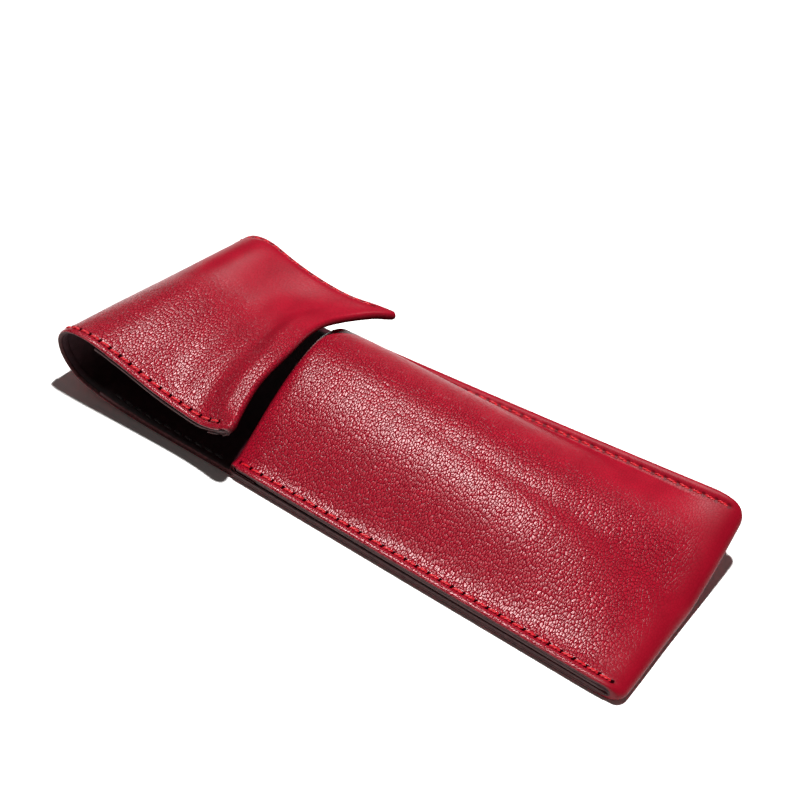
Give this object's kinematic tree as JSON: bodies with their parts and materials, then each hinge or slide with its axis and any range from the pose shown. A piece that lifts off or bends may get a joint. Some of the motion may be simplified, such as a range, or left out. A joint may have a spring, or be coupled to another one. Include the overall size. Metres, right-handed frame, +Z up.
{
  "type": "soft glasses case",
  "caption": "Slim soft leather glasses case: a long sewn pouch, open at one end, with a hood flap that folds over its mouth.",
  "frame": {"origin": "on the flat underside of the back panel, where the mouth line of the pouch crosses the centre of its width", "axes": "+X along the pouch from the mouth line to the closed end, +Y across the case from the low long edge to the raised one, +Z up from the flat underside"},
  "size_m": [0.1682, 0.0547, 0.0281],
  "materials": {
    "outer_leather": "satin pebble-grain red leather with dark painted edges",
    "lining": "matt near-black lining",
    "thread": "waxed bright red sewing thread"
  },
  "bodies": {
    "pouch": {"pouch_outer": "outer_leather", "front_lining": "lining", "back_lining": "lining", "pouch_thread_near": "thread", "pouch_thread_far": "thread"},
    "hinge_spine": {"hinge_lower_bend": "outer_leather", "hinge_spine": "outer_leather"},
    "flap": {"hinge_upper_bend": "outer_leather", "flap_outer": "outer_leather", "flap_lining": "lining", "flap_thread_near": "thread", "flap_thread_far": "thread"}
  },
  "joints": [
    {"name": "hinge_lower", "type": "hinge", "parent": "pouch", "child": "hinge_spine", "pos_m": [-0.0502, 0, 0.0042], "axis": [0, -1, 0], "range_deg": [0, 90], "deforming": ["hinge_lower_bend"]},
    {"name": "hinge_upper", "type": "hinge", "parent": "hinge_spine", "child": "flap", "pos_m": [-0.0458, 0, 0.02], "axis": [0, -1, 0], "range_deg": [0, 90], "deforming": ["hinge_upper_bend"]}
  ],
  "couplings": [
    {"joint": "hinge_upper", "follows": "hinge_lower", "ratio": 1}
  ]
}
